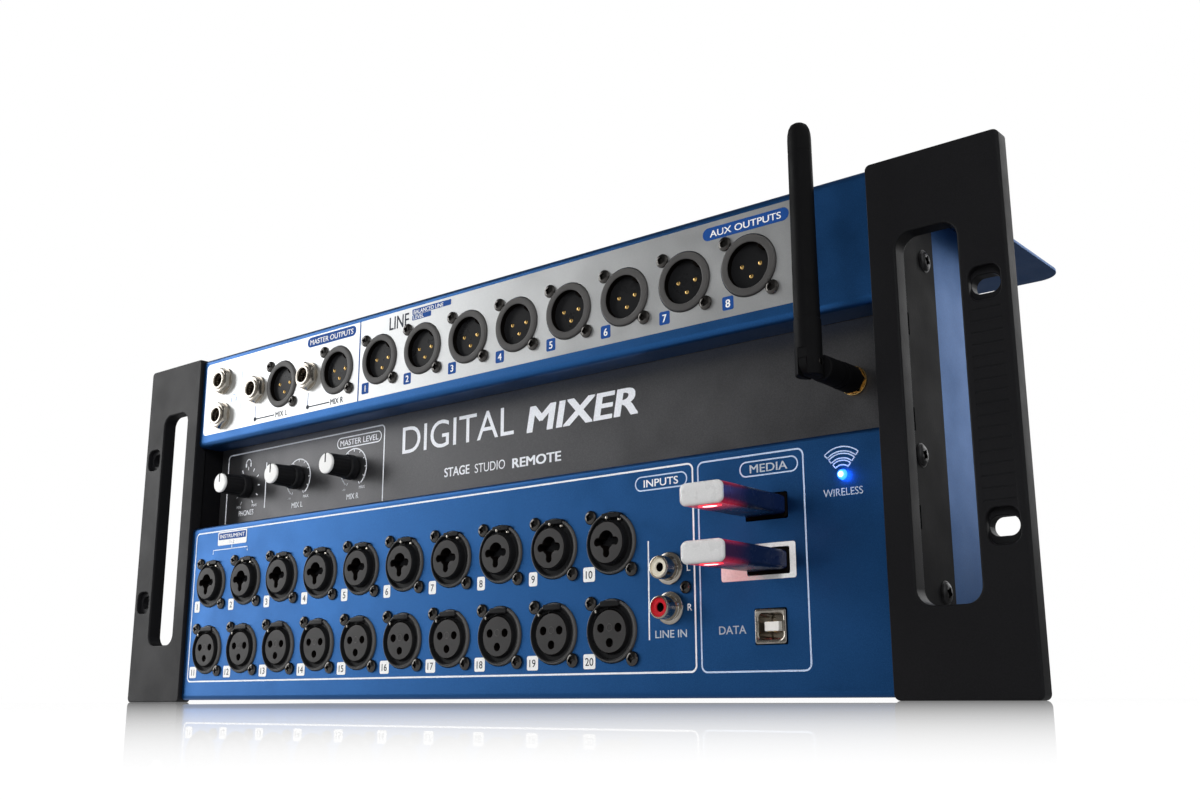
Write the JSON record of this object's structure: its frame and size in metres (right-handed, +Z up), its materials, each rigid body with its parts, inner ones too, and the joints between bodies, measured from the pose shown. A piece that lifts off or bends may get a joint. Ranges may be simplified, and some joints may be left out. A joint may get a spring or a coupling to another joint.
{
  "type": "rack mixer",
  "caption": "Rack-mount digital stage mixer: blue case with recessed grey band, black rack ears with hand slots, audio sockets, level knobs, memory sticks and a folding stub antenna.",
  "frame": {"origin": "centre of the bounding box in plan, on the plane the unit stands on", "axes": "+X to the right seen from the front, +Y to the rear, +Z up"},
  "size_m": [0.4826, 0.193, 0.1921],
  "materials": {
    "blue_paint": "satin blue enamel with fine fleck",
    "grey_paint": "satin",
    "black_paint": "satin black",
    "connector_black": "satin",
    "nickel": "polished",
    "stick": "satin",
    "lamp": "clear",
    "knob_black": "matt",
    "board": "solder mask",
    "psu_metal": "brushed",
    "gold": "polished",
    "antenna_black": "matt"
  },
  "bodies": {
    "case": {"output_panel": "blue_paint", "centre_panel": "grey_paint", "input_panel": "blue_paint", "rear_cover": "blue_paint", "top_cover": "blue_paint", "ear_left": "black_paint", "ear_right": "black_paint", "combo_input_01": "connector_black", "combo_input_02": "connector_black", "combo_input_03": "connector_black", "combo_input_04": "connector_black", "combo_input_05": "connector_black", "combo_input_06": "connector_black", "combo_input_07": "connector_black", "combo_input_08": "connector_black", "combo_input_09": "connector_black", "combo_input_10": "connector_black", "xlr_input_11": "connector_black", "xlr_input_12": "connector_black", "xlr_input_13": "connector_black", "xlr_input_14": "connector_black", "xlr_input_15": "connector_black", "xlr_input_16": "connector_black", "xlr_input_17": "connector_black", "xlr_input_18": "connector_black", "xlr_input_19": "connector_black", "xlr_input_20": "connector_black", "xlr_master_l": "connector_black", "xlr_master_r": "connector_black", "xlr_aux_1": "connector_black", "xlr_aux_2": "connector_black", "xlr_aux_3": "connector_black", "xlr_aux_4": "connector_black", "xlr_aux_5": "connector_black", "xlr_aux_6": "connector_black", "xlr_aux_7": "connector_black", "xlr_aux_8": "connector_black", "phones_jack_upper": "nickel", "phones_jack_lower": "nickel", "mix_l_jack": "nickel", "mix_r_jack": "nickel", "line_in_sockets": "nickel", "data_port_b": "nickel", "media_port_upper": "connector_black", "media_port_lower": "connector_black", "status_led": "lamp", "front_board": "board", "main_board": "board", "power_supply": "psu_metal", "power_inlet": "connector_black", "rear_ports": "nickel", "antenna_socket": "gold"},
    "flash_drive_upper": {"flash_drive_upper": "stick"},
    "flash_drive_lower": {"flash_drive_lower": "stick"},
    "knob_phones": {"knob_phones": "knob_black"},
    "knob_mix_l": {"knob_mix_l": "knob_black"},
    "knob_mix_r": {"knob_mix_r": "knob_black"},
    "power_rocker": {"power_rocker": "knob_black"},
    "antenna_elbow": {"antenna_swivel": "antenna_black"},
    "antenna_stub": {"antenna_whip": "antenna_black"}
  },
  "joints": [
    {"name": "knob_phones_turn", "type": "hinge", "parent": "case", "child": "knob_phones", "pos_m": [-0.1703, -0.0505, 0.108], "axis": [0, 1, 0], "range_deg": [-150, 150]},
    {"name": "knob_mix_l_turn", "type": "hinge", "parent": "case", "child": "knob_mix_l", "pos_m": [-0.1284, -0.0505, 0.108], "axis": [0, 1, 0], "range_deg": [-150, 150]},
    {"name": "knob_mix_r_turn", "type": "hinge", "parent": "case", "child": "knob_mix_r", "pos_m": [-0.0865, -0.0505, 0.108], "axis": [0, 1, 0], "range_deg": [-150, 150]},
    {"name": "flash_drive_upper_slide", "type": "slide", "parent": "case", "child": "flash_drive_upper", "axis": [0, -1, 0], "range_m": [0, 0.014]},
    {"name": "flash_drive_lower_slide", "type": "slide", "parent": "case", "child": "flash_drive_lower", "axis": [0, -1, 0], "range_m": [0, 0.014]},
    {"name": "power_rocker_tilt", "type": "hinge", "parent": "case", "child": "power_rocker", "pos_m": [-0.1165, 0.022, 0.042], "axis": [1, 0, 0], "range_deg": [0, 20]},
    {"name": "antenna_elbow_turn", "type": "hinge", "parent": "case", "child": "antenna_elbow", "pos_m": [0.1782, -0.0485, 0.1073], "axis": [0, 1, 0], "range_deg": [-90, 90]},
    {"name": "antenna_stub_fold", "type": "hinge", "parent": "antenna_elbow", "child": "antenna_stub", "pos_m": [0.1782, -0.0727, 0.1073], "axis": [1, 0, 0], "range_deg": [0, 90]}
  ]
}
